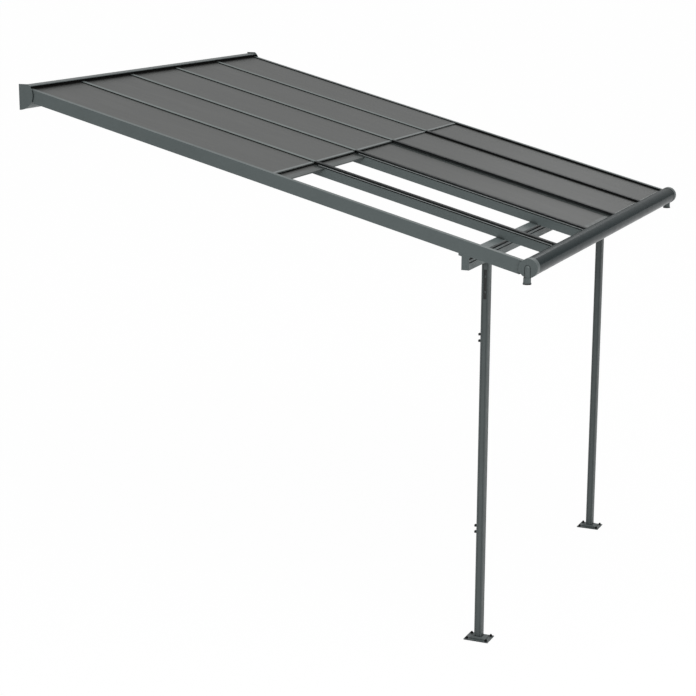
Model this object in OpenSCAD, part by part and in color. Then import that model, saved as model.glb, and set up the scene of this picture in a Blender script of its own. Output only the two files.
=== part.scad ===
// Lean-to patio cover: an aluminium frame with sheet roof bays. Three of the lower sheets slide
// up under the fixed upper sheets to open the roof.
// Millimetres. +X runs along the wall, +Y points into the wall, +Z is up.
// The origin is on the back face of the wall rail, at the middle of its length.

/* [Overall] */
// Width over the side rafters
cover_w = 3040; // [2800:10:3200]
// Distance from the wall to the lower end of the rafters
projection = 3182; // [2900:1:3500]
// Slope of the roof in degrees
roof_pitch = 14.6; // [12:0.1:17]
// Height of the origin above the ground
mount_h = 3166; // [2900:1:3400]
// Distance between the centres of the inner rafters
bay_pitch = 610; // [560:5:640]

/* [Wall rail] */
// Depth of the curved skirt of the wall rail
rail_d = 93; // [85:1:110]
// Height of the top of the wall rail above the origin
rail_top = 27; // [24:1:34]
// Drop of the bottom of the wall rail below the origin
rail_drop = 117; // [112:1:140]
// Drop of the foremost line of the skirt below the origin
rail_mid = 30; // [20:1:36]
// Distance from the wall to the front lip of the hood
hood_d = 77; // [66:1:82]
// Height of that lip
hood_lip = 5; // [4:0.5:9]
// Overhang of the wall rail past each side rafter
rail_over = 5; // [2:1:30]
// Wall thickness of the wall rail
rail_t = 2.5; // [2:0.1:3]
// Thickness of the end caps of the wall rail
rail_cap_t = 4; // [3:0.5:6]
// Height by which those end caps stand above the rail
rail_cap_rise = 9; // [4:1:12]
// Rim of those end caps round the skirt
rail_cap_rim = 2; // [1:0.5:4]
// Radius of the holes for the wall screws
wall_hole_r = 5; // [4:0.5:7]
// Drop of the wall screws below the origin
wall_hole_drop = 30; // [20:1:36]
// Distance from the outer wall screws to the side rafters' outer faces
wall_hole_inset = 270; // [150:10:350]

/* [Rafters] */
// Width of an inner rafter
rafter_w = 50; // [46:1:60]
// Height of an inner rafter with its cap
rafter_h = 72; // [66:1:84]
// Extra depth of the side rafters below the inner ones
side_extra = 6; // [3:1:12]
// Width of a side rafter
side_w = 40; // [38:1:50]
// Width of the lip on top of a side rafter
side_lip = 34; // [32:1:36]
// Rounding of the outer top edge of the side rafters
side_round = 3; // [2:0.5:5]
// Wall thickness of the rafters
rafter_t = 2; // [1.6:0.1:2.6]
// Width of the web between the two sides of an inner rafter
web_w = 8; // [7:0.5:12]
// Reach of the narrow ledges that carry the upper sheets
ledge_reach = 8; // [6:0.5:9]
// Thickness of those ledges
ledge_t = 2; // [1.6:0.1:3]
// Width of the groove in the web that takes the tongue of a cap
groove_w = 4; // [3:0.1:4.4]
// Depth of that groove
groove_d = 8; // [6:0.5:9]
// Width of the caps on the inner rafters
cap_w = 34; // [32:1:40]
// Thickness of the caps
cap_t = 3; // [2.4:0.1:4]

/* [Sheets] */
// Thickness of the roof sheets
sheet_t = 6; // [4:0.5:8]
// Distance from the wall to the lower edge of the upper sheets
junction_y = 1674; // [1600:1:1800]
// Length over which upper and lower sheets lie one above the other
overlap = 70; // [50:1:90]
// Width of the light edge profile on the fixed sheets
trim_w = 16; // [12:1:24]
// Thickness of that edge profile
trim_t = 1.4; // [1:0.1:2]
// Height of the gaskets between the caps and the upper sheets
gasket_h = 3.4; // [3:0.1:4.4]
// Width of the gaskets
gasket_w = 3.8; // [2.6:0.1:4]
// Distance from the lower edge of the lower sheets to the ends of the rafters
sheet_end_gap = 4; // [3:1:10]

/* [Sliding sheets] */
// Height of the frame round a sliding sheet
sash_h = 9; // [8.5:0.1:10]
// Width of the side members of that frame
stile_w = 18; // [14:1:26]
// Width of its front and rear members
rail_w = 38; // [28:1:50]
// Depth of its upper and lower walls over the sheet
sash_lip = 1.3; // [1:0.1:1.4]
// Thickness of the fins that slide in the rafters
fin_t = 2.5; // [2:0.1:3.5]
// Length of a sliding sheet left showing when it is open
open_strip = 70; // [60:1:120]
// Space from the lower end of a closed sliding sheet to the ends of the rafters
closed_inset = 10; // [8:1:20]

/* [Gutter] */
// Outer radius of the gutter
gutter_r = 52; // [46:1:56]
// Wall thickness of the gutter
gutter_t = 2.5; // [2:0.1:3]
// Height of the back edge of the gutter above its centre
gutter_back_h = 7; // [3:0.5:7.5]
// Drop of the gutter's centre below the caps' lower ends
gutter_drop = 39; // [38:0.5:44]
// Distance from the back of the gutter to the ends of the rafters
gutter_lap = 14; // [12:1:18]
// Opening between the curled lip of the gutter and the ends of the rafters
lip_gap = 7; // [6:0.5:10]
// Thickness of the gutter end caps
gutter_cap_t = 7; // [5:0.5:10]
// Depth of the sleeve of an end cap round the gutter
gutter_sleeve = 38; // [25:1:60]
// Thickness of that sleeve
sleeve_t = 1.2; // [1:0.1:2]
// Radius of the rounded boss on an end cap
boss_r = 17.5; // [15:0.5:19]
// Outer radius of the water outlet
outlet_r = 21.5; // [20:0.5:26]
// Wall thickness of the water outlet
outlet_t = 2.5; // [2:0.1:4]
// Length of the outlet below the gutter
outlet_l = 37; // [30:1:60]
// Radius of the rim at the foot of the outlet
outlet_rim_r = 24; // [23:0.5:28]
// Height of that rim
outlet_rim_h = 8; // [5:0.5:12]

/* [Beam] */
// Distance from the ends of the rafters back to the middle of the beam
beam_inset = 328; // [280:1:420]
// Thickness of the beam from front to back
beam_d = 42; // [40:1:56]
// Height of the beam at its middle
beam_h = 89; // [80:1:120]
// Wall thickness of the beam
beam_t = 2.5; // [2:0.1:3]
// Height of the thicker lower part of the beam's front
beam_plinth_h = 38; // [30:1:44]
// Thickness of that part
beam_plinth_t = 3; // [2:0.5:5]
// Width and depth of the groove above it
beam_groove = 5; // [4:0.5:7]
// Height of the beam's front face, below the step back under the flange
beam_face_h = 56; // [52:1:60]
// Depth of that step
beam_step = 8; // [6:0.5:10]
// Thickness of the beam's top flange
beam_flange_t = 4; // [3:0.5:6]
// Overhang of that flange in front of the beam
beam_over = 8; // [4:0.5:12]
// Thickness of the beam's end caps
beam_cap_t = 3; // [2:0.5:5]
// Length of the ear behind the top of an end cap
beam_ear_l = 18; // [12:1:24]
// Thickness of that ear
beam_ear_t = 12; // [8:1:16]

/* [Posts] */
// Width of a square post
post_w = 44; // [42:1:60]
// Wall thickness of a post
post_t = 2.5; // [2:0.1:3]
// Distance from the middle of a post to the outer face of the side rafter
post_inset = 364; // [250:1:500]
// Width of the two ribs in each face of a post
rib_w = 3; // [2:0.5:4]
// Depth of those ribs
rib_d = 1.2; // [0.8:0.1:1.6]
// Width of the bolt slot in the outer face of a post
slot_w = 18; // [14:1:20]
// Height of that slot
slot_h = 170; // [120:5:220]
// Distance from the top of the post to the slot
slot_down = 50; // [30:5:70]
// Thickness of the plate on top of a post
head_t = 4; // [3:0.5:6]
// Length of the sockets inside the posts
socket_l = 100; // [60:5:140]
// Wall thickness of the sockets
socket_t = 3; // [2:0.5:4]
// Thickness of the foot plates
plate_t = 6; // [4:0.5:8]
// Width of a foot plate along the wall
foot_w = 120; // [112:1:140]
// Depth of a foot plate
foot_d = 150; // [142:1:170]
// Distance between the anchor holes along the wall
foot_hole_w = 90; // [84:1:100]
// Distance between the anchor holes from front to back
foot_hole_d = 120; // [114:1:130]
// Radius of the anchor holes
foot_hole_r = 6; // [5:0.5:7]
// Height of the raised cover over a foot plate
foot_cover_h = 13; // [10:1:20]

/* [Hose clips] */
// Distance from the top of the post to the upper clip
clip_down = 475; // [400:5:600]
// Distance from the upper to the lower clip
clip_pitch = 1150; // [900:10:1400]
// Height of a clip
clip_h = 50; // [40:1:70]
// Outer radius of its open rings
clip_r = 9; // [8:0.5:14]
// Thickness of its rings and back plate
clip_t = 2.5; // [2:0.1:4]
// Height of each ring
clip_ring_h = 12; // [8:1:16]

/* [Hidden] */
$fn = 96;

// Clearance where one piece rests on another
seat = 0.3;
// Clearance round the sliding sheets away from their fins
run_gap = 5;
// Cutting tools reach this far past what they cut
past = 40;
frame_colour = [0.35, 0.38, 0.38];
dark_colour = [0.2, 0.23, 0.23];
sheet_colour = [0.43, 0.43, 0.42];
trim_colour = [0.5, 0.52, 0.52];
seal_colour = [0.08, 0.08, 0.08];

// Heights across a rafter, measured down from the top of its cap
web_top = cap_t + seat;
upper_top = web_top + gasket_h + seat;
ledge_top = upper_top + sheet_t + seat;
fin_top = upper_top + sheet_t + run_gap;
track_top = fin_top + fin_t + seat;
lower_top = track_top - seat - sheet_t;

// Distances out from a web: its slots, the cap over it and the lip of a side rafter
slot_d = (rafter_w - web_w) / 2;
cap_reach = (cap_w - web_w) / 2;
side_web = side_w - slot_d;
side_reach = side_lip - side_web;

// The roof's own frame starts at the wall, where the plane of the caps meets the top of the rail
function cap_z(y) = rail_top + y * tan(roof_pitch);
function level_z(y, drop) = cap_z(y) - drop / cos(roof_pitch);
function slope_at(y, drop) = (y - drop * sin(roof_pitch)) / cos(roof_pitch);
roof_end = -projection;

module roof_frame() {
    translate([0, 0, rail_top]) rotate([roof_pitch, 0, 0]) children();
}

// Runs an outline of x and height along the slope, from start up to finish
module down_slope(start, finish) {
    translate([0, finish, 0]) rotate([90, 0, 0]) linear_extrude(finish - start) children();
}

// Runs an outline of y and z along the width
module along_width(start, finish) {
    translate([start, 0, 0]) rotate([90, 0, 90]) linear_extrude(finish - start) children();
}

module outline_box(x0, x1, top, bottom) {
    translate([x0, -bottom]) square([x1 - x0, bottom - top]);
}

module at_both_sides() {
    children();
    mirror([1, 0, 0]) children();
}

// Where the rafters end: inside the wall rail, and against the back of the gutter
pocket_back = rail_d / 2;
rafter_top_y = -pocket_back - seat;
gutter_back_y = roof_end + gutter_lap;
rafter_low_y = gutter_back_y + seat;
function rafter_x(i) = (i - 2.5) * bay_pitch;
side_x = cover_w / 2;

// The bays: their left and right webs
function bay_left(i) = i == 1 ? -side_x + side_web : rafter_x(i - 1) + web_w / 2;
function bay_right(i) = i == 5 ? side_x - side_web : rafter_x(i) - web_w / 2;
// Their clear width between the caps
function visible_left(i) = bay_left(i) + (i == 1 ? side_reach : cap_reach) + 1;
function visible_right(i) = bay_right(i) - (i == 5 ? side_reach : cap_reach) - 1;

// Wall rail
rail_end = side_x + rail_over;
shelf_drop = rafter_h + seat;
curve_h = rail_drop - rail_mid;
curve_steps = 16;
hood_y = -hood_d;
function shelf_z(y) = level_z(y, shelf_drop);
// Points on the skirt's curve, grown outwards; the angle is 90 at its foot and 0 at its front
function curve_at(angle, grow) = [-(rail_d + grow) * cos(angle), -rail_mid - (curve_h + grow) * sin(angle)];
function curve(last, grow) =
    [for (i = [0 : curve_steps]) curve_at(90 + i * (last - 90) / curve_steps, grow)];

module under_shelf(inset) {
    polygon([[-inset, shelf_z(-inset) - inset], [-2 * rail_d, shelf_z(-2 * rail_d) - inset],
        [-2 * rail_d, -2 * rail_drop], [-inset, -2 * rail_drop]]);
}

module skirt_outline(inset) {
    intersection() {
        polygon(concat([[0, -rail_mid]], curve(0, -inset)));
        under_shelf(inset);
    }
}

module rail_outline() {
    difference() {
        skirt_outline(0);
        skirt_outline(rail_t);
    }
    // The box behind the ends of the rafters
    difference() {
        polygon([[0, rail_top], [0, shelf_z(0) - rail_t], [-pocket_back, shelf_z(-pocket_back) - rail_t],
            [-pocket_back, rail_top]]);
        polygon([[-rail_t, rail_top - rail_t], [-rail_t, shelf_z(-rail_t)],
            [-pocket_back + rail_t, shelf_z(-pocket_back + rail_t)],
            [-pocket_back + rail_t, rail_top - rail_t]]);
    }
    // The hood over the ends of the rafters, with its front edge broken
    polygon([[-pocket_back + 1, rail_top], [hood_y + 1, rail_top], [hood_y, rail_top - 1],
        [hood_y, rail_top - hood_lip], [hood_y + rail_t, rail_top - hood_lip],
        [hood_y + rail_t, rail_top - rail_t], [-pocket_back + 1, rail_top - rail_t]]);
}

wall_hole_pitch = (cover_w - 2 * wall_hole_inset) / 5;
driver_r = 2 * wall_hole_r;
module wall_rail() {
    color(frame_colour)
    difference() {
        along_width(-rail_end, rail_end) rail_outline();
        for (x = [0.5 : 1 : 2.5]) at_both_sides() translate([x * wall_hole_pitch, 0, -wall_hole_drop])
            rotate([90, 0, 0]) {
                translate([0, 0, -rail_t]) cylinder(r = wall_hole_r, h = 3 * rail_t);
                translate([0, 0, pocket_back - 2 * rail_t]) cylinder(r = driver_r, h = 3 * rail_t);
            }
    }
}

module rail_cap() {
    cap_top = rail_top + rail_cap_rise;
    top_angle = -asin((cap_top + rail_mid) / (curve_h + rail_cap_rim));
    color(frame_colour)
    along_width(rail_end, rail_end + rail_cap_t)
    polygon(concat([[0, cap_top]], curve(top_angle, rail_cap_rim)));
}
module wall_rail_cap_left() { mirror([1, 0, 0]) rail_cap(); }
module wall_rail_cap_right() { rail_cap(); }

// The seal closes the gap between the hood, the caps and the sheets, set back behind the lip
seal_front = hood_y + 14;
seal_back = -pocket_back - seat;
module rail_seal() {
    color(seal_colour) {
        along_width(-side_x, side_x) seal_outline(0);
        for (i = [1 : 5]) along_width(visible_left(i), visible_right(i)) seal_outline(upper_top);
    }
}
module seal_outline(drop) {
    polygon([[seal_front, rail_top - rail_t - seat], [seal_back, rail_top - rail_t - seat],
        [seal_back, level_z(seal_back, drop) + seat], [seal_front, level_z(seal_front, drop) + seat]]);
}

// Rafters
module rafter_outline() {
    difference() {
        union() {
            outline_box(-web_w / 2, web_w / 2, web_top, track_top + rafter_t);
            outline_box(-web_w / 2 - ledge_reach, web_w / 2 + ledge_reach, ledge_top, ledge_top + ledge_t);
            outline_box(-rafter_w / 2, rafter_w / 2, track_top, rafter_h);
        }
        outline_box(-rafter_w / 2 + rafter_t, rafter_w / 2 - rafter_t,
            track_top + rafter_t, rafter_h - rafter_t);
        outline_box(-groove_w / 2, groove_w / 2, 0, web_top + groove_d);
    }
}

// Cuts everything on the wall side of the pocket's back
module cut_at_wall(x0, x1) {
    translate([x0, rafter_top_y, -projection]) cube([x1 - x0, projection, 2 * projection]);
}

// Leaves only the top of a rafter over the gutter, down to the top of its box
module cut_at_gutter(x0, x1) {
    intersection() {
        translate([x0, rafter_low_y - projection, -projection - mount_h])
            cube([x1 - x0, projection, 2 * projection + mount_h]);
        roof_frame() translate([x0 - 1, -3 * projection, -projection - track_top])
            cube([x1 - x0 + 2, 4 * projection, projection]);
    }
    translate([x0, roof_end - projection, -projection - mount_h])
        cube([x1 - x0, projection, 2 * projection + mount_h]);
}

slope_top = slope_at(rafter_top_y, 0) + past;
slope_low = slope_at(roof_end, rafter_h + side_extra) - past;

module rafter(i) {
    color(frame_colour)
    translate([rafter_x(i), 0, 0])
    difference() {
        roof_frame() down_slope(slope_low, slope_top) rafter_outline();
        cut_at_wall(-rafter_w, rafter_w);
        cut_at_gutter(-rafter_w, rafter_w);
    }
}
module rafter_1() { rafter(1); }
module rafter_2() { rafter(2); }
module rafter_3() { rafter(3); }
module rafter_4() { rafter(4); }

// A cap, with bevelled edges and a tongue that clips into the web
tongue_gap = 2;
module cap_outline() {
    bevel = cap_t / 2;
    tongue_w = groove_w - 2 * seat;
    polygon([[-cap_w / 2, -cap_t], [cap_w / 2, -cap_t], [cap_w / 2, -bevel], [cap_w / 2 - bevel, 0],
        [-cap_w / 2 + bevel, 0], [-cap_w / 2, -bevel]]);
    outline_box(-tongue_w / 2, tongue_w / 2, cap_t - 0.1, web_top + groove_d - tongue_gap);
}

module rafter_cap(i) {
    color(frame_colour)
    translate([rafter_x(i), 0, 0])
    difference() {
        roof_frame() down_slope(slope_low, slope_top) cap_outline();
        cut_at_wall(-rafter_w, rafter_w);
        translate([-rafter_w, roof_end - projection, -2 * projection])
            cube([2 * rafter_w, projection, 3 * projection]);
    }
}
module rafter_cap_1() { rafter_cap(1); }
module rafter_cap_2() { rafter_cap(2); }
module rafter_cap_3() { rafter_cap(3); }
module rafter_cap_4() { rafter_cap(4); }

// Side rafter, drawn from its outer face at x = 0 inwards
side_h = rafter_h + side_extra;
module side_outline() {
    difference() {
        union() {
            outline_box(0, side_web, side_round, side_h);
            outline_box(side_round, side_web, 0, side_round + 1);
            translate([side_round, -side_round]) circle(r = side_round);
            outline_box(side_round, side_lip, 0, cap_t);
            outline_box(side_web - 1, side_web + ledge_reach, ledge_top, ledge_top + ledge_t);
            outline_box(side_web - 1, side_w, track_top, side_h);
        }
        outline_box(rafter_t, side_web - rafter_t, side_round + rafter_t, side_h - rafter_t);
        outline_box(side_web, side_w - rafter_t, track_top + rafter_t, side_h - rafter_t);
    }
}

module side_rafter() {
    color(frame_colour)
    difference() {
        roof_frame() down_slope(slope_low, slope_top) translate([-side_x, 0]) side_outline();
        cut_at_wall(-side_x - past, -side_x + 2 * side_w);
        cut_at_gutter(-side_x - past, -side_x + 2 * side_w);
        // The deep lower part stops in front of the wall rail
        roof_frame() translate([-side_x - past, slope_at(-rail_d - 2, side_h), -2 * side_h - rafter_h])
            cube([side_w + 2 * past, projection, 2 * side_h]);
    }
}
module side_rafter_left() { side_rafter(); }
module side_rafter_right() { mirror([1, 0, 0]) side_rafter(); }

// A flat slab in a bay, between two distances from the wall at one height in the rafters
module slab(x0, x1, y_low, y_high, top, thick) {
    roof_frame() translate([x0, slope_at(-y_low, top), -top - thick])
        cube([x1 - x0, slope_at(-y_high, top) - slope_at(-y_low, top), thick]);
}

// Fixed upper sheets
sheet_side_gap = 3;
upper_y = pocket_back + 4;
module upper_sheet(i) {
    color(sheet_colour)
    slab(bay_left(i) + sheet_side_gap, bay_right(i) - sheet_side_gap,
        junction_y, upper_y, upper_top, sheet_t);
}
module upper_sheet_1() { upper_sheet(1); }
module upper_sheet_2() { upper_sheet(2); }
module upper_sheet_3() { upper_sheet(3); }
module upper_sheet_4() { upper_sheet(4); }
module upper_sheet_5() { upper_sheet(5); }

// Light profile over the lower edge of a fixed sheet, between the caps
module edge_profile(i, edge_y, top) {
    width = visible_right(i) - visible_left(i);
    roof_frame() translate([visible_left(i), slope_at(-edge_y, top), -top]) {
        cube([width, trim_w, trim_t]);
        translate([0, -trim_t, -sheet_t]) cube([width, trim_t, sheet_t + trim_t]);
    }
}
module upper_sheet_profiles() {
    color(trim_colour) for (i = [1 : 5]) edge_profile(i, junction_y, upper_top);
}

// Fixed lower sheets of the two right bays
lower_y = projection - sheet_end_gap;
lower_side = ledge_reach + 1;
module lower_sheet(i) {
    color(sheet_colour)
    slab(bay_left(i) + lower_side, bay_right(i) - lower_side,
        lower_y, junction_y - overlap, lower_top, sheet_t);
}
module lower_sheet_4() { lower_sheet(4); }
module lower_sheet_5() { lower_sheet(5); }
module lower_sheet_profiles() {
    color(trim_colour) for (i = [4 : 5]) edge_profile(i, lower_y, lower_top);
}

// Gaskets under both edges of the caps, down to the upper sheets and the fixed lower ones
gasket_from = ledge_reach + 0.6;
module gasket_pair(i, y_low, y_high, bottom) {
    for (x = [bay_left(i) + gasket_from, bay_right(i) - gasket_from - gasket_w])
        slab(x, x + gasket_w, y_low, y_high, web_top, bottom - seat - web_top);
}
module cap_gaskets() {
    color(seal_colour) {
        for (i = [1 : 5]) gasket_pair(i, junction_y, upper_y, upper_top);
        for (i = [4 : 5]) gasket_pair(i, lower_y, junction_y + 2, lower_top);
    }
}

// Sliding sheets, drawn closed and moved up the slope where they stand open
sash_top = fin_top + 2;
closed_y = projection - closed_inset;
sash_l = slope_at(-(junction_y - overlap), sash_top) - slope_at(-closed_y, sash_top);
travel = slope_at(-(junction_y + open_strip), sash_top) - slope_at(-closed_y, sash_top);
function sash_move(i) = i < 3 ? travel : 0;

module in_sash(i) {
    roof_frame() translate([0, slope_at(-closed_y, sash_top) + sash_move(i), 0]) children();
}

module sash_side_outline() {
    // From the tip of the fin, at x = 0, to the inside of the side member
    difference() {
        union() {
            outline_box(0, slot_d + 1, fin_top, fin_top + fin_t);
            outline_box(slot_d, slot_d + 2 * fin_t, fin_top, sash_top + 1);
            outline_box(slot_d, slot_d + stile_w, sash_top, sash_top + sash_h);
        }
        outline_box(slot_d + stile_w / 2, slot_d + stile_w + 1, sash_top + sash_lip,
            sash_top + sash_h - sash_lip);
    }
}

module sash_cross(x0, x1, s0, groove_s) {
    difference() {
        translate([x0, s0, -sash_top - sash_h]) cube([x1 - x0, rail_w, sash_h]);
        translate([x0 - 1, groove_s, -sash_top - sash_h + sash_lip])
            cube([x1 - x0 + 2, rail_w / 2, sash_h - 2 * sash_lip]);
    }
}

module sliding_frame(i) {
    x0 = bay_left(i) + run_gap;
    x1 = bay_right(i) - run_gap;
    cross_inset = slot_d + stile_w / 2;
    color(trim_colour)
    in_sash(i) {
        down_slope(0, sash_l) translate([x0, 0]) sash_side_outline();
        down_slope(0, sash_l) translate([x1, 0]) mirror([1, 0]) sash_side_outline();
        sash_cross(x0 + cross_inset, x1 - cross_inset, 0, rail_w / 2);
        sash_cross(x0 + cross_inset, x1 - cross_inset, sash_l - rail_w, sash_l - rail_w);
    }
}
module sliding_frame_1() { sliding_frame(1); }
module sliding_frame_2() { sliding_frame(2); }
module sliding_frame_3() { sliding_frame(3); }

module sliding_sheet(i) {
    inset = run_gap + slot_d + stile_w / 2 + seat;
    x0 = bay_left(i) + inset;
    x1 = bay_right(i) - inset;
    color(sheet_colour)
    in_sash(i) translate([x0, rail_w / 2 + seat, -sash_top - (sash_h + sheet_t) / 2])
        cube([x1 - x0, sash_l - rail_w - 2 * seat, sheet_t]);
}
module sliding_sheet_1() { sliding_sheet(1); }
module sliding_sheet_2() { sliding_sheet(2); }
module sliding_sheet_3() { sliding_sheet(3); }

// Gutter, a round trough with its front curled over to the ends of the rafters
gutter_y = gutter_back_y - gutter_r;
gutter_z = cap_z(roof_end) - gutter_drop;
lip_y = roof_end - lip_gap;
module gutter_ring(outer, inner) {
    difference() {
        circle(r = outer);
        circle(r = inner);
        translate([lip_y - gutter_y, 0]) square(2 * gutter_r);
    }
}
module gutter_outline() {
    gutter_ring(gutter_r, gutter_r - gutter_t);
    translate([gutter_r - gutter_t, -1]) square([gutter_t, gutter_back_h + 1]);
}
module gutter() {
    color(dark_colour) along_width(-side_x, side_x) translate([gutter_y, gutter_z]) gutter_outline();
}

// The end cap closes the gutter and laps onto the side rafter, with a sleeve round the gutter's end
sleeve_r = gutter_r + seat + sleeve_t;
cap_corner = [gutter_back_y + 8, gutter_z - 22];
module gutter_cap_outline() {
    translate([gutter_y, gutter_z]) circle(r = sleeve_r);
    polygon([[gutter_y, gutter_z + sleeve_r], [gutter_y + 20, gutter_z + 47],
        [gutter_back_y, gutter_z + 30], cap_corner, [gutter_y + 40, gutter_z - 34], [gutter_y, gutter_z]]);
}
module gutter_sleeve_outline() {
    difference() {
        gutter_ring(sleeve_r, gutter_r + seat);
        translate([roof_end - gutter_y - 2 * gutter_t, -2 * gutter_r]) square(4 * gutter_r);
    }
}

// The outlet hangs under the end cap; a rounded boss on the cap's outer face feeds it
cap_face = side_x + seat;
outlet_y = gutter_y + 7;
boss_y = outlet_y - 3;
outlet_low = gutter_z - gutter_r - outlet_l;
outlet_top = gutter_z - sleeve_r - 2;
module outlet_form(grow, r_low, r_high) {
    translate([cap_face, outlet_y, outlet_low - grow])
        cylinder(r = r_low, h = outlet_top - outlet_low + grow);
    translate([cap_face, boss_y, outlet_top - 1]) cylinder(r = r_high, h = gutter_z - outlet_top + 1);
    translate([cap_face, boss_y, gutter_z]) sphere(r = r_high);
}
module gutter_cap() {
    color(frame_colour)
    difference() {
        union() {
            along_width(cap_face, cap_face + gutter_cap_t) gutter_cap_outline();
            along_width(cap_face - gutter_sleeve, cap_face + 1) translate([gutter_y, gutter_z])
                gutter_sleeve_outline();
            difference() {
                union() {
                    outlet_form(0, outlet_r, boss_r);
                    translate([cap_face, outlet_y, outlet_low]) {
                        cylinder(r = outlet_r, h = outlet_l);
                        cylinder(r = outlet_rim_r, h = outlet_rim_h);
                    }
                }
                // Nothing of the outlet reaches into the gutter
                along_width(cap_face - 2 * gutter_r, cap_face) translate([gutter_y, gutter_z])
                    circle(r = sleeve_r - sleeve_t / 2);
            }
        }
        outlet_form(1, outlet_r - outlet_t, boss_r - outlet_t);
    }
}
module gutter_cap_left() { mirror([1, 0, 0]) gutter_cap(); }
module gutter_cap_right() { gutter_cap(); }

// Beam under the rafters
beam_y = roof_end + beam_inset;
beam_top_drop = rafter_h + seat;
beam_low = level_z(beam_y, beam_top_drop) - beam_h;
beam_front = beam_y - beam_d / 2;
beam_back = beam_y + beam_d / 2;
plinth_y = beam_front - beam_plinth_t;
module beam_outline() {
    function top(y) = level_z(y, beam_top_drop);
    over_y = beam_front - beam_over;
    step_y = beam_front + beam_step;
    inner_y = beam_front + beam_groove + beam_t;
    inner_back = beam_back - beam_t;
    difference() {
        union() {
            polygon([[beam_back, top(beam_back)], [over_y, top(over_y)],
                [over_y, top(over_y) - beam_flange_t], [beam_back, top(beam_back) - beam_flange_t]]);
            polygon([[beam_back, top(beam_back) - 1], [step_y, top(step_y) - 1],
                [step_y, beam_low + beam_face_h], [beam_front, beam_low + beam_face_h],
                [beam_front, beam_low], [beam_back, beam_low]]);
            translate([plinth_y, beam_low]) square([beam_plinth_t + 1, beam_plinth_h]);
        }
        polygon([[inner_back, top(inner_back) - beam_flange_t],
            [step_y + beam_t, top(step_y + beam_t) - beam_flange_t],
            [step_y + beam_t, beam_low + beam_face_h - beam_t], [inner_y, beam_low + beam_face_h - beam_t],
            [inner_y, beam_low + beam_t], [inner_back, beam_low + beam_t]]);
        translate([plinth_y - 1, beam_low + beam_plinth_h])
            square([beam_groove + beam_plinth_t + 1, beam_groove]);
    }
}

// Room for the deep side rafters at the ends of the beam
module side_rafter_room() {
    roof_frame() translate([side_x - side_w - seat, -2 * projection, -side_h - seat])
        cube([side_w + past, 3 * projection, 2 * side_h]);
}

module beam() {
    color(frame_colour)
    difference() {
        along_width(-side_x + beam_cap_t, side_x - beam_cap_t) beam_outline();
        at_both_sides() side_rafter_room();
    }
}

// The beam's end cap follows its flange, with an ear behind that hooks under the side rafter
module beam_cap() {
    function top(y) = level_z(y, side_h + seat);
    ear_y = beam_back + beam_ear_l;
    over_y = beam_front - beam_over;
    color(frame_colour)
    along_width(side_x - beam_cap_t, side_x)
        polygon([[ear_y, top(ear_y)], [over_y, top(over_y)], [over_y, top(over_y) - beam_flange_t],
            [plinth_y, top(plinth_y) - beam_flange_t], [plinth_y, beam_low], [beam_back, beam_low],
            [beam_back, top(beam_back) - beam_ear_t], [ear_y, top(ear_y) - beam_ear_t]]);
}
module beam_cap_left() { mirror([1, 0, 0]) beam_cap(); }
module beam_cap_right() { beam_cap(); }

// Posts
post_x = side_x - post_inset;
post_y = beam_y;
ground_z = -mount_h;
post_low = ground_z + plate_t + seat;
post_top = beam_low - seat - head_t - seat;
module post_outline() {
    difference() {
        square(post_w, center = true);
        square(post_w - 2 * post_t, center = true);
        for (turn = [0 : 90 : 270]) rotate(turn) for (side = [-1, 1])
            translate([side * (slot_w / 2 + rib_w), post_w / 2]) square([rib_w, 2 * rib_d], center = true);
    }
}
module post() {
    color(frame_colour)
    translate([post_x, post_y, post_low]) difference() {
        linear_extrude(post_top - post_low) post_outline();
        // The bolt slot in the outer face
        translate([post_w / 2 - 2 * post_t, -slot_w / 2, post_top - post_low - slot_down - slot_h])
            cube([4 * post_t, slot_w, slot_h]);
    }
}
module post_left() { mirror([1, 0, 0]) post(); }
module post_right() { post(); }

// The head plate joins a post to the beam, with a socket that reaches down into the post
socket_w = post_w - 2 * post_t - 2 * seat;
head_socket = slot_down + slot_h + socket_l / 4;
module socket(height) {
    linear_extrude(height) difference() {
        square(socket_w, center = true);
        square(socket_w - 2 * socket_t, center = true);
    }
}
module post_head() {
    color(frame_colour)
    translate([post_x, post_y, post_top + seat]) {
        translate([-post_w, -post_w / 2, 0]) cube([2 * post_w, post_w, head_t]);
        translate([0, 0, -head_socket]) socket(head_socket + 1);
    }
}
module post_head_left() { mirror([1, 0, 0]) post_head(); }
module post_head_right() { post_head(); }

module foot_plate() {
    color(frame_colour)
    translate([post_x, post_y, ground_z])
    difference() {
        union() {
            translate([-foot_w / 2, -foot_d / 2, 0]) cube([foot_w, foot_d, plate_t]);
            socket(plate_t + socket_l);
        }
        for (sx = [-1, 1], sy = [-1, 1])
            translate([sx * foot_hole_w / 2, sy * foot_hole_d / 2, -1])
                cylinder(r = foot_hole_r, h = plate_t + 2);
    }
}
module foot_plate_left() { mirror([1, 0, 0]) foot_plate(); }
module foot_plate_right() { foot_plate(); }

// A low cover slopes up from between the anchors to the post
foot_cover_lip = 2;
bolt_room = 3;
foot_cover_rim = 6;
module foot_cover() {
    base_w = foot_hole_w - 2 * foot_hole_r - 2 * bolt_room;
    base_d = foot_hole_d - 2 * foot_hole_r - 2 * bolt_room;
    top_w = post_w + 2 * foot_cover_rim;
    color(frame_colour)
    translate([post_x, post_y, ground_z + plate_t])
    difference() {
        hull() {
            translate([-base_w / 2, -base_d / 2, 0]) cube([base_w, base_d, foot_cover_lip]);
            translate([-top_w / 2, -top_w / 2, 0]) cube([top_w, top_w, foot_cover_h]);
        }
        translate([-post_w / 2 - seat, -post_w / 2 - seat, -1])
            cube([post_w + 2 * seat, post_w + 2 * seat, foot_cover_h + 2]);
    }
}
module foot_cover_left() { mirror([1, 0, 0]) foot_cover(); }
module foot_cover_right() { foot_cover(); }

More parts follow.
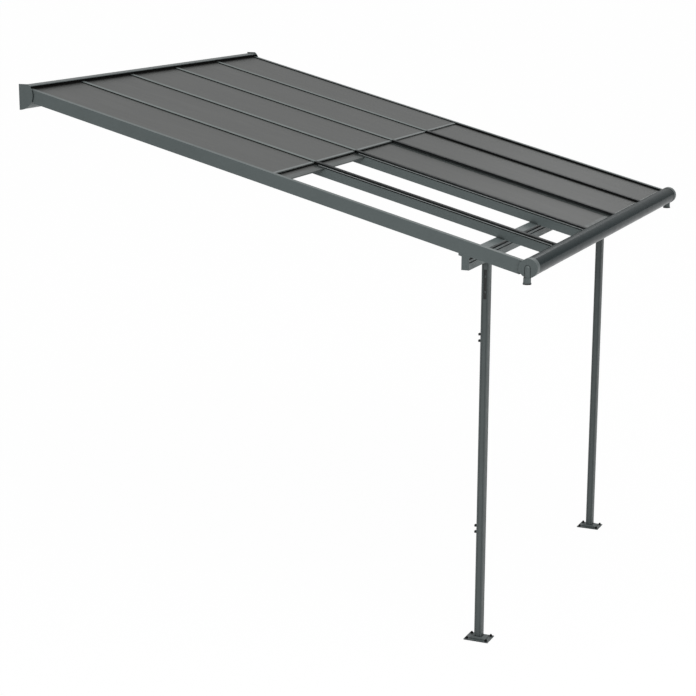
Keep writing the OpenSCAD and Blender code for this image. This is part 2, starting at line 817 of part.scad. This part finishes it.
// Two clips with open rings on the wall side of the left post hold a drain hose
clip_plate_w = 16;
clip_out = clip_r + clip_t;
module hose_clip() {
    translate([-clip_plate_w / 2, 0, 0]) cube([clip_plate_w, clip_t, clip_h]);
    for (z = [0, clip_h - clip_ring_h]) translate([0, clip_out, z]) difference() {
        union() {
            cylinder(r = clip_r, h = clip_ring_h);
            translate([-clip_t, -clip_out + clip_t / 2, 0]) cube([2 * clip_t, clip_r, clip_ring_h]);
        }
        translate([0, 0, -1]) cylinder(r = clip_r - clip_t, h = clip_ring_h + 2);
        translate([-clip_r * 0.6, 0, -1]) cube([clip_r * 1.2, 2 * clip_r, clip_ring_h + 2]);
    }
}
module hose_clips() {
    color(dark_colour)
    for (drop = [clip_down, clip_down + clip_pitch])
        translate([-post_x, post_y + post_w / 2 + seat, post_top - drop]) hose_clip();
}

wall_rail();
wall_rail_cap_left();
wall_rail_cap_right();
rail_seal();
side_rafter_left();
side_rafter_right();
rafter_1();
rafter_2();
rafter_3();
rafter_4();
rafter_cap_1();
rafter_cap_2();
rafter_cap_3();
rafter_cap_4();
cap_gaskets();
upper_sheet_1();
upper_sheet_2();
upper_sheet_3();
upper_sheet_4();
upper_sheet_5();
upper_sheet_profiles();
lower_sheet_4();
lower_sheet_5();
lower_sheet_profiles();
sliding_sheet_1();
sliding_sheet_2();
sliding_sheet_3();
sliding_frame_1();
sliding_frame_2();
sliding_frame_3();
gutter();
gutter_cap_left();
gutter_cap_right();
beam();
beam_cap_left();
beam_cap_right();
post_left();
post_right();
post_head_left();
post_head_right();
foot_plate_left();
foot_plate_right();
foot_cover_left();
foot_cover_right();
hose_clips();
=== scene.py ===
"""The looks of a lean-to patio cover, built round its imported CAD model. Metres, +Z up."""

import math

import bmesh
import bpy
from mathutils import Matrix, Vector


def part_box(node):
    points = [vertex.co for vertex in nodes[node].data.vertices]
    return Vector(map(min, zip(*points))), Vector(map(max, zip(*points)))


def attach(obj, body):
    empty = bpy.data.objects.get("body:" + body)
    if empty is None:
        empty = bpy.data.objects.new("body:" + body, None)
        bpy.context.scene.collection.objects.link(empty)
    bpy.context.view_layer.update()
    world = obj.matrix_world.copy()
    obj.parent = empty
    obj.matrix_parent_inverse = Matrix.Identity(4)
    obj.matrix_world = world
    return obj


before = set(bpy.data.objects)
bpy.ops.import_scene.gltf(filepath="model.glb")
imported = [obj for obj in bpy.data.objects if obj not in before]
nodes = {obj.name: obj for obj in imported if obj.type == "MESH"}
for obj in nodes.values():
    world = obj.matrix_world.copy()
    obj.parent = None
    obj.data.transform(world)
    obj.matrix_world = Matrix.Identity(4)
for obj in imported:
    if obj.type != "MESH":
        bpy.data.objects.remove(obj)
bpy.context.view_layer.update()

GROUND_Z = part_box("foot_plate_left")[0].z
SHEET_FLUTE = 0.006

# The roof plane through the tops of the caps, and the line across it where the upper sheets end
ROOF_PITCH = math.radians(14.6)
ROOF_TOP_Z = 0.027
JUNCTION_Y = -1.674

# The rafters stand a bay apart, and their ledges reach this far out from a web's middle
BAY_PITCH = 0.61
LEDGE_REACH = 0.0112

# The outer face of the gutter's end caps, and the black rim at the foot of their outlets
END_FACE_X = 1.5273
OUTLET_RIM_H = 0.0055

DUST_GREY = (0.27, 0.28, 0.27)
BLACK_RIM = (0.004, 0.004, 0.004)


# Materials

def join(tree, socket, value):
    """Sets an input to a plain value, or links another node's output to it."""
    if isinstance(value, bpy.types.NodeSocket):
        tree.links.new(value, socket)
    else:
        socket.default_value = value


def add(tree, kind, settings=None, **inputs):
    """A new node with its settings and inputs; an input's name has _ for each space."""
    node = tree.nodes.new("ShaderNode" + kind)
    for key, value in (settings or {}).items():
        setattr(node, key, value)
    for key, value in inputs.items():
        join(tree, node.inputs[key.replace("_", " ")], value)
    return node


def maths(tree, operation, first, second=0.0):
    node = add(tree, "Math", {"operation": operation})
    join(tree, node.inputs[0], first)
    join(tree, node.inputs[1], second)
    return node.outputs[0]


def between(tree, value, low, high, out_low=0.0, out_high=1.0):
    """Carries a value from one range to another, and holds it at the ends."""
    node = add(tree, "MapRange", Value=value, From_Min=low, From_Max=high,
               To_Min=out_low, To_Max=out_high)
    return node.outputs["Result"]


def noise(tree, place, size, detail=2.0, rough=0.5):
    """Noise from 0 to 1 whose marks are about size metres across."""
    return add(tree, "TexNoise", Vector=place, Scale=1 / size, Detail=detail, Roughness=rough).outputs["Fac"]


def shaded(tree, colour, factor):
    """A colour made lighter or darker by a factor that varies over the surface."""
    node = add(tree, "VectorMath", {"operation": "SCALE"})
    join(tree, node.inputs[0], colour)
    join(tree, node.inputs["Scale"], factor)
    return node.outputs[0]


def blended(tree, share, first, second):
    """Two colours mixed by a share."""
    node = add(tree, "Mix", {"data_type": "RGBA"})
    join(tree, node.inputs[0], share)
    for socket, value in ((node.inputs[6], first), (node.inputs[7], second)):
        join(tree, socket, value if isinstance(value, bpy.types.NodeSocket) else (*value, 1.0))
    return node.outputs[2]


def begin(name):
    """A new material; returns it, its tree, its main shader and the object's own coordinates."""
    material = bpy.data.materials.new(name)
    material.use_nodes = True
    tree = material.node_tree
    surface = tree.nodes["Principled BSDF"]
    place = add(tree, "TexCoord").outputs["Object"]
    return material, tree, surface, place


def edge_share(tree, width):
    """How near a point is to a sharp edge, from 0 on a flat to 1 on the edge."""
    rounded = add(tree, "Bevel", {"samples": 4}, Radius=width).outputs[0]
    flat = add(tree, "NewGeometry").outputs["Normal"]
    turned = add(tree, "VectorMath", {"operation": "DOT_PRODUCT"})
    join(tree, turned.inputs[0], rounded)
    join(tree, turned.inputs[1], flat)
    return between(tree, turned.outputs["Value"], 0.98, 0.75)


def upward_share(tree):
    """How much a surface faces up, where dust settles."""
    normal = add(tree, "NewGeometry").outputs["Normal"]
    parts = add(tree, "SeparateXYZ")
    join(tree, parts.inputs[0], normal)
    return between(tree, parts.outputs["Z"], 0.5, 0.95)


def recess_shade(tree, reach, darkest):
    """Painted shade in grooves and under lips: 1 in the open, the darkest value deep inside."""
    hidden = add(tree, "AmbientOcclusion", {"samples": 6}, Distance=reach)
    return between(tree, hidden.outputs["AO"], 0.3, 0.82, darkest, 1.0)


def bumped(tree, surface, height, depth, strength=1.0):
    bump = add(tree, "Bump", Height=height, Distance=depth, Strength=strength)
    tree.links.new(bump.outputs[0], surface.inputs["Normal"])


def powder_coat(name, colour, rough, shine=0.4, tint=(1.0, 1.0, 1.0), worn=0.35, peel=0.0022,
                reach=0.035, dusty=0.04, zone=None):
    """Sprayed powder paint: fine grain, orange peel, uneven gloss, dust on top and rubbed edges.

    Recesses get painted shade over their reach. A zone is an axis, a place on it and the colour that takes
    over below that place."""
    material, tree, surface, place = begin(name)
    grain = noise(tree, place, 0.0006, 1.0)
    orange_peel = noise(tree, place, peel, 2.0)
    clouds = noise(tree, place, 0.45, 4.0, 0.6)
    shade = between(tree, clouds, 0.3, 0.7, 0.94, 1.06)
    shade = maths(tree, "MULTIPLY", shade, between(tree, grain, 0.25, 0.75, 0.95, 1.05))
    paint = shaded(tree, colour, shade)
    scuffs = between(tree, noise(tree, place, 0.018, 5.0, 0.7), 0.48, 0.66)
    rubbed = maths(tree, "MULTIPLY", maths(tree, "MULTIPLY", edge_share(tree, 0.0012), scuffs), worn)
    paint = blended(tree, rubbed, paint, [min(1.0, 2.1 * part + 0.03) for part in colour])
    dust = maths(tree, "MULTIPLY", upward_share(tree), between(tree, clouds, 0.35, 0.75, dusty / 8, dusty))
    paint = blended(tree, dust, paint, DUST_GREY)
    if zone:
        axis, limit, zone_colour = zone
        parts = add(tree, "SeparateXYZ")
        join(tree, parts.inputs[0], place)
        below = between(tree, parts.outputs[axis], limit - 0.0005, limit + 0.0005, 1.0, 0.0)
        paint = blended(tree, below, paint, shaded(tree, zone_colour, shade))
    # Painted shade: the colour darkens in recesses and under lips, from ambient occlusion
    paint = shaded(tree, paint, recess_shade(tree, reach, 0.04))
    tree.links.new(paint, surface.inputs["Base Color"])
    gloss = between(tree, noise(tree, place, 0.06, 3.0), 0.3, 0.7, rough - 0.04, rough + 0.05)
    tree.links.new(gloss, surface.inputs["Roughness"])
    surface.inputs["Specular IOR Level"].default_value = shine
    surface.inputs["Specular Tint"].default_value = (*tint, 1.0)
    height = maths(tree, "ADD", maths(tree, "MULTIPLY", grain, 0.35), orange_peel)
    bumped(tree, surface, height, 0.00006, 0.6)
    return material


def fluted_sheet(name, colour, rough):
    """Twin-wall roof sheet: faint flutes down the slope, a satin face and very faint streaks."""
    material, tree, surface, place = begin(name)
    parts = add(tree, "SeparateXYZ")
    join(tree, parts.inputs[0], place)
    turns = maths(tree, "MULTIPLY", parts.outputs["X"], 2 * math.pi / SHEET_FLUTE)
    wave = maths(tree, "COSINE", turns)
    flute = maths(tree, "POWER", between(tree, wave, -1.0, 1.0), 6.0)
    stretched = add(tree, "VectorMath", {"operation": "MULTIPLY"})
    join(tree, stretched.inputs[0], place)
    stretched.inputs[1].default_value = (1.0, 0.09, 0.09)
    streaks = noise(tree, stretched.outputs[0], 0.035, 4.0, 0.6)
    clouds = noise(tree, place, 0.6, 3.0)
    speckle = noise(tree, place, 0.0012, 1.0)
    shade = between(tree, streaks, 0.3, 0.7, 0.99, 1.01)
    shade = maths(tree, "MULTIPLY", shade, between(tree, clouds, 0.3, 0.7, 0.98, 1.02))
    shade = maths(tree, "MULTIPLY", shade, between(tree, speckle, 0.25, 0.75, 0.97, 1.03))
    shade = maths(tree, "MULTIPLY", shade, between(tree, flute, 0.0, 1.0, 1.0, 0.9))
    body = shaded(tree, colour, shade)
    dust = maths(tree, "MULTIPLY", upward_share(tree), between(tree, streaks, 0.45, 0.8, 0.0, 0.015))
    body = blended(tree, dust, body, DUST_GREY)
    # Painted shade: the sheets darken under the hood and beside the caps and rafters
    body = shaded(tree, body, recess_shade(tree, 0.08, 0.02))
    tree.links.new(body, surface.inputs["Base Color"])
    surface.inputs["Specular IOR Level"].default_value = 0.25
    gloss = between(tree, streaks, 0.3, 0.7, rough + 0.015, rough - 0.015)
    tree.links.new(gloss, surface.inputs["Roughness"])
    height = maths(tree, "ADD", maths(tree, "MULTIPLY", flute, -1.0),
                   maths(tree, "MULTIPLY", speckle, 0.25))
    bumped(tree, surface, height, 0.0001, 0.5)
    return material


def moulded(name, colour, rough, grain_size=0.0009, depth=0.00008):
    """Moulded rubber or plastic: a matt grain and slightly uneven colour."""
    material, tree, surface, place = begin(name)
    grain = noise(tree, place, grain_size, 2.0)
    clouds = noise(tree, place, 0.08, 3.0)
    shade = maths(tree, "MULTIPLY", between(tree, clouds, 0.3, 0.7, 0.88, 1.12),
                  between(tree, grain, 0.25, 0.75, 0.92, 1.08))
    tree.links.new(shaded(tree, colour, shade), surface.inputs["Base Color"])
    gloss = between(tree, grain, 0.3, 0.7, rough - 0.05, rough + 0.07)
    tree.links.new(gloss, surface.inputs["Roughness"])
    surface.inputs["Specular IOR Level"].default_value = 0.12
    bumped(tree, surface, grain, depth, 0.7)
    return material


def plated_steel(name, colour, rough):
    """Plated fixings: a dull metal with fine turning marks and darker patches."""
    material, tree, surface, place = begin(name)
    marks = noise(tree, place, 0.0007, 3.0, 0.6)
    patches = noise(tree, place, 0.006, 3.0, 0.6)
    shade = maths(tree, "MULTIPLY", between(tree, patches, 0.3, 0.7, 0.75, 1.15),
                  between(tree, marks, 0.3, 0.7, 0.9, 1.1))
    tree.links.new(shaded(tree, colour, shade), surface.inputs["Base Color"])
    gloss = between(tree, patches, 0.3, 0.7, rough + 0.12, rough - 0.05)
    tree.links.new(gloss, surface.inputs["Roughness"])
    surface.inputs["Metallic"].default_value = 0.85
    bumped(tree, surface, marks, 0.00005, 0.5)
    return material


frame_paint = powder_coat("frame_paint", (0.072, 0.088, 0.088), 0.42)
post_paint = powder_coat("post_paint", (0.06, 0.073, 0.073), 0.42)
# Painted highlight and painted shade: the caps are a lighter copy of the frame paint for the light on their
# tops, and near-black below the junction for the shade in the tracks of the lower bays
cap_painted_light_and_shade = powder_coat("cap_painted_light_and_shade", (0.12, 0.139, 0.136), 0.42, shine=0.15,
                        zone=("Y", JUNCTION_Y, (0.003, 0.0055, 0.006)))
edge_paint = powder_coat("edge_profile", (0.108, 0.122, 0.121), 0.4)
# Painted shade: the sashes are a darker copy of the edge paint, with a long reach of recess shade, for the
# shade under the upper sheets
sash_painted_shade = powder_coat("sash_profile", (0.046, 0.054, 0.053), 0.42, reach=0.09)
# Painted highlight: the light trim colour stands in for the lit edge of the ledges
trim_painted_highlight = powder_coat("track_trim", (0.25, 0.27, 0.27), 0.4, reach=0.004)
end_paint = powder_coat("gutter_end_paint", (0.072, 0.088, 0.088), 0.38, reach=0.014,
                        zone=("Z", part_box("gutter_cap_left")[0].z + OUTLET_RIM_H, BLACK_RIM))
gutter_paint = powder_coat("gutter_paint", (0.0065, 0.0135, 0.0148), 0.22, shine=0.06,
                           tint=(0.8, 0.97, 1.0), worn=0.1, peel=0.003, dusty=0.004)
bracket_paint = powder_coat("bracket_paint", (0.018, 0.02, 0.02), 0.5)
sheet_plastic = fluted_sheet("roof_sheet", (0.0605, 0.0635, 0.0615), 0.46)
clip_plastic = moulded("clip_plastic", (0.025, 0.028, 0.028), 0.55)
seal_rubber_and_shade = moulded("rubber", (0.003, 0.003, 0.003), 0.8)
fixing_steel = plated_steel("fixing_steel", (0.012, 0.012, 0.012), 0.45)


def finish_of(name):
    if name.startswith("rafter_cap"):
        return cap_painted_light_and_shade
    if name.startswith("sliding_frame"):
        return sash_painted_shade
    if name.endswith("profiles"):
        return edge_paint
    if "sheet" in name:
        return sheet_plastic
    if name == "gutter":
        return gutter_paint
    if name.startswith("gutter_cap"):
        return end_paint
    # Real black seals, which also stand in as painted shade for the dark gaps under the hood lip and beside
    # the caps
    if name in ("rail_seal", "cap_gaskets"):
        return seal_rubber_and_shade
    if name.startswith("post_head"):
        return bracket_paint
    if name.startswith("post") or name.startswith("foot"):
        return post_paint
    if name == "hose_clips":
        return clip_plastic
    return frame_paint


for name, node in nodes.items():
    node.data.materials.clear()
    node.data.materials.append(finish_of(name))


# Fixings and trims

def turned(outline, sides=32):
    """A closed body of revolution about +Z, from pairs of radius and height.

    The pairs start and end on the axis, or at the same place off it, which leaves a hole."""
    mesh = bmesh.new()
    rings = []
    for radius, height in outline:
        if radius == 0:
            rings.append([mesh.verts.new((0, 0, height))])
            continue
        rings.append([mesh.verts.new((radius * math.cos(i * 2 * math.pi / sides),
                                      radius * math.sin(i * 2 * math.pi / sides), height))
                      for i in range(sides)])
    for low, high in zip(rings, rings[1:]):
        for i in range(sides):
            j = (i + 1) % sides
            face = [low[i % len(low)], low[j % len(low)], high[j % len(high)], high[i % len(high)]]
            mesh.faces.new(list(dict.fromkeys(face)))
    bmesh.ops.remove_doubles(mesh, verts=mesh.verts, dist=1e-7)
    bmesh.ops.recalc_face_normals(mesh, faces=mesh.faces)
    return mesh


def stacked(parts):
    """Small bodies of revolution, each with the height it stands at, as one mesh."""
    whole = bpy.data.meshes.new("fixing")
    total = bmesh.new()
    for part, height in parts:
        part.transform(Matrix.Translation((0, 0, height)))
        part.to_mesh(whole)
        part.free()
        total.from_mesh(whole)
    total.to_mesh(whole)
    total.free()
    return whole


def swept(name, rings):
    """A closed mesh through rings that have the same number of points."""
    body = bmesh.new()
    loops = [[body.verts.new(point) for point in ring] for ring in rings]
    for low, high in zip(loops, loops[1:]):
        for i in range(len(low)):
            j = (i + 1) % len(low)
            body.faces.new((low[i], low[j], high[j], high[i]))
    body.faces.new(loops[0])
    body.faces.new(loops[-1])
    bmesh.ops.recalc_face_normals(body, faces=body.faces)
    mesh = bpy.data.meshes.new(name)
    body.to_mesh(mesh)
    body.free()
    return mesh


def washer(outer, inner, thick):
    bevel = thick * 0.3
    return turned([(inner, 0), (outer, 0), (outer, thick - bevel), (outer - bevel, thick),
                   (inner, thick), (inner, 0)])


def hex_nut(flats, height):
    """A hexagon with chamfered corners."""
    corner = flats / math.sqrt(3)
    chamfer = (corner - flats / 2) / 2
    return turned([(0, 0), (flats / 2, 0), (corner, chamfer), (corner, height - chamfer),
                   (flats / 2, height), (0, height)], sides=6)


def dome(radius, height):
    """The closed top of a cap nut."""
    steps = 6
    angles = [i * math.pi / 2 / steps for i in range(steps)]
    quarter = [(radius * math.cos(angle), height * math.sin(angle)) for angle in angles]
    return turned([(0, 0)] + quarter + [(0, height)], sides=24)


def button_head(radius, height):
    """A domed screw head with a round recess for the driver."""
    rise = [(radius * math.cos(angle), height * math.sin(angle)) for angle in (0, 0.35, 0.7, 1.0, 1.2)]
    recess = [(radius * 0.33, height), (radius * 0.3, height * 0.45), (0, height * 0.4)]
    return turned([(0, 0)] + rise + recess)


def add_piece(name, mesh, material):
    """A piece of the fixed frame."""
    mesh.materials.append(material)
    piece = bpy.data.objects.new(name, mesh)
    bpy.context.scene.collection.objects.link(piece)
    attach(piece, "frame")


def place_fixing(name, mesh, place, direction, material=fixing_steel):
    """Puts a fixing made along +Z at its place, pointing along a direction."""
    turn = Vector(direction).to_track_quat("Z", "Y").to_matrix().to_4x4()
    mesh.transform(Matrix.Translation(place) @ turn)
    add_piece(name, mesh, material)


def make_anchor_bolts():
    """Ground anchors at the corners of both foot plates: a washer and a closed cap nut."""
    plate_t = 0.006
    pitch_x, pitch_y = 0.09, 0.12
    washer_t = 0.0016
    nut_h = 0.0065
    sunk = 0.0009
    for side in ("left", "right"):
        low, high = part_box("foot_plate_" + side)
        middle = (low + high) / 2
        for i, (sx, sy) in enumerate(((-1, -1), (1, -1), (1, 1), (-1, 1))):
            bolt = stacked([(washer(0.0095, 0.0051, washer_t), 0),
                            (hex_nut(0.0138, nut_h), washer_t),
                            (dome(0.0063, 0.0065), washer_t + nut_h - sunk)])
            spot = (middle.x + sx * pitch_x / 2, middle.y + sy * pitch_y / 2, GROUND_Z + plate_t)
            place_fixing(f"anchor_{side}_{i}", bolt, spot, (0, 0, 1))


def make_post_bolts():
    """Two button-head bolts in the slot of each post hold it to the head's socket."""
    slot_floor = 0.0192
    for side, out in (("left", -1), ("right", 1)):
        low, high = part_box("post_" + side)
        middle = (low + high) / 2
        for i, down in enumerate((0.09, 0.18)):
            spot = (middle.x + out * slot_floor, middle.y, high.z - down)
            bolt = stacked([(button_head(0.0065, 0.0033), 0)])
            place_fixing(f"post_bolt_{side}_{i}", bolt, spot, (out, 0, 0), post_paint)


def make_head_bolts():
    """Hexagon bolts through the head plates into the beam, seen from below."""
    plate_t = 0.004
    half_pitch = 0.033
    washer_t = 0.0014
    for side in ("left", "right"):
        low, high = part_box("post_head_" + side)
        middle = (low + high) / 2
        for i, sx in enumerate((-1, 1)):
            bolt = stacked([(washer(0.0082, 0.0043, washer_t), 0), (hex_nut(0.0126, 0.0052), washer_t)])
            spot = (middle.x + sx * half_pitch, middle.y, high.z - plate_t)
            place_fixing(f"head_bolt_{side}_{i}", bolt, spot, (0, 0, -1))


def on_roof(x, y, depth):
    """A point under the roof plane by a depth, measured square to it."""
    return Vector((x, y + depth * math.sin(ROOF_PITCH),
                   ROOF_TOP_Z + y * math.tan(ROOF_PITCH) - depth * math.cos(ROOF_PITCH)))


def make_track_trims():
    """A rounded strip on the edge of each ledge along the two open bays, light in colour as a painted
    highlight of the lit ledge edge.
    """
    strip_w = 0.003
    strip_h = 0.0043
    round_r = 0.0008
    strip_top = 0.0126
    y_high, y_low = JUNCTION_Y - 0.03, -3.17
    # The side rafter's ledge starts from its web's inner face, a rafter's from its web's middle
    side_web = 0.019
    half_web = 0.004
    near_w = strip_w - round_r
    nose_w = strip_w - round_r * 0.3
    outline = [(0, 0), (near_w, 0), (nose_w, round_r * 0.3), (strip_w, round_r),
               (strip_w, strip_h - round_r), (nose_w, strip_h - round_r * 0.3),
               (near_w, strip_h), (0, strip_h)]
    for bay in (1, 2):
        for side, rafter, out in (("near", bay - 1, 1), ("far", bay, -1)):
            axis_x = (rafter - 2.5) * BAY_PITCH
            if rafter == 0:
                axis_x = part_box("side_rafter_left")[0].x + side_web - half_web
            rings = [[on_roof(axis_x + out * (LEDGE_REACH + across), y, strip_top + down)
                      for across, down in outline] for y in (y_low, y_high)]
            name = f"track_trim_{bay}_{side}"
            add_piece(name, swept(name, rings), trim_painted_highlight)


def make_outlet_dark_lines():
    """A thin dark line round the boss on the outer face of each gutter end cap."""
    boss_y, boss_z = -3.216, -0.84086
    boss_r = 0.016
    foot_z = -0.893
    inset = 0.0004
    line_w = 0.0016
    line_h = 0.0005
    steps = 24
    path = [((boss_y - boss_r, foot_z), (-1.0, 0.0))]
    for i in range(steps + 1):
        angle = math.pi * (1 - i / steps)
        out = (math.cos(angle), math.sin(angle))
        path.append(((boss_y + boss_r * out[0], boss_z + boss_r * out[1]), out))
    path.append(((boss_y + boss_r, foot_z), (1.0, 0.0)))
    section = ((-inset, 0), (-inset, line_h), (line_w, line_h), (line_w, 0))
    for side, sign in (("left", -1), ("right", 1)):
        rings = [[(sign * (END_FACE_X + lift), y + reach * out_y, z + reach * out_z)
                  for reach, lift in section] for (y, z), (out_y, out_z) in path]
        name = "outlet_dark_line_" + side
        add_piece(name, swept(name, rings), seal_rubber_and_shade)


make_anchor_bolts()
make_post_bolts()
make_head_bolts()
make_track_trims()
make_outlet_dark_lines()


# Studio

def make_floor():
    """A pale floor, nearly white to the camera, that keeps the object's shadow."""
    white_share = 0.96
    bpy.ops.mesh.primitive_plane_add(size=400, location=(0, 0, GROUND_Z))
    floor = bpy.context.object
    floor.name = "floor"
    material = bpy.data.materials.new("floor")
    material.use_nodes = True
    tree = material.node_tree
    surface = tree.nodes["Principled BSDF"]
    surface.inputs["Base Color"].default_value = (0.9, 0.9, 0.9, 1.0)
    surface.inputs["Roughness"].default_value = 0.9
    glow = add(tree, "Emission", Color=(1.0, 1.0, 1.0, 1.0))
    seen = add(tree, "LightPath").outputs["Is Camera Ray"]
    mix = add(tree, "MixShader")
    join(tree, mix.inputs[0], maths(tree, "MULTIPLY", seen, white_share))
    join(tree, mix.inputs[1], surface.outputs[0])
    join(tree, mix.inputs[2], glow.outputs[0])
    join(tree, tree.nodes["Material Output"].inputs["Surface"], mix.outputs[0])
    floor.data.materials.append(material)


def make_world():
    """White to the camera; it lights the object most from above and least from the horizon."""
    world = bpy.data.worlds.new("studio")
    bpy.context.scene.world = world
    world.use_nodes = True
    tree = world.node_tree
    dim, full = 0.3, 1.0
    sky = tree.nodes["Background"]
    sky.inputs["Color"].default_value = (1.0, 1.0, 1.0, 1.0)
    height = add(tree, "SeparateXYZ")
    join(tree, height.inputs[0], add(tree, "TexCoord").outputs["Generated"])
    join(tree, sky.inputs["Strength"], between(tree, height.outputs["Z"], 0.05, 0.6, dim, full))
    white = add(tree, "Background", Color=(1.0, 1.0, 1.0, 1.0), Strength=1.0)
    seen = add(tree, "LightPath").outputs["Is Camera Ray"]
    mix = add(tree, "MixShader")
    join(tree, mix.inputs[0], seen)
    join(tree, mix.inputs[1], sky.outputs[0])
    join(tree, mix.inputs[2], white.outputs[0])
    join(tree, tree.nodes["World Output"].inputs["Surface"], mix.outputs[0])


def area_light(name, place, target, size, watts):
    """A soft square light that faces a target."""
    lamp = bpy.data.lights.new(name, "AREA")
    lamp.size = size
    lamp.energy = watts
    holder = bpy.data.objects.new(name, lamp)
    holder.location = place
    holder.rotation_euler = (Vector(target) - Vector(place)).to_track_quat("-Z", "Y").to_euler()
    bpy.context.scene.collection.objects.link(holder)


def make_camera():
    """The photograph's view: its place, direction and lens, worked out for a 696 by 696 image."""
    image_px = 696
    focal_px = 1856.1
    centre_px = (317.8, 369.0)
    azimuth = math.radians(65.48)
    pitch = math.radians(-13.58)
    camera = bpy.data.cameras.new("camera")
    camera.sensor_width = 36.0
    camera.lens = focal_px / image_px * camera.sensor_width
    camera.shift_x = (image_px / 2 - centre_px[0]) / image_px
    camera.shift_y = (centre_px[1] - image_px / 2) / image_px
    camera.clip_end = 1000
    holder = bpy.data.objects.new("camera", camera)
    holder.location = (-10.989, -6.2855, 0.9872)
    holder.rotation_euler = (math.pi / 2 + pitch, 0, -azimuth)
    bpy.context.scene.collection.objects.link(holder)
    bpy.context.scene.camera = holder


make_floor()
make_world()
area_light("key", (-6, -7, 6), (0, -1.6, -1), 6, 480)
area_light("rim", (10, -1.8, 4.2), (0, -2.4, -0.6), 2, 28)
make_camera()
bpy.context.scene.view_settings.view_transform = "Standard"
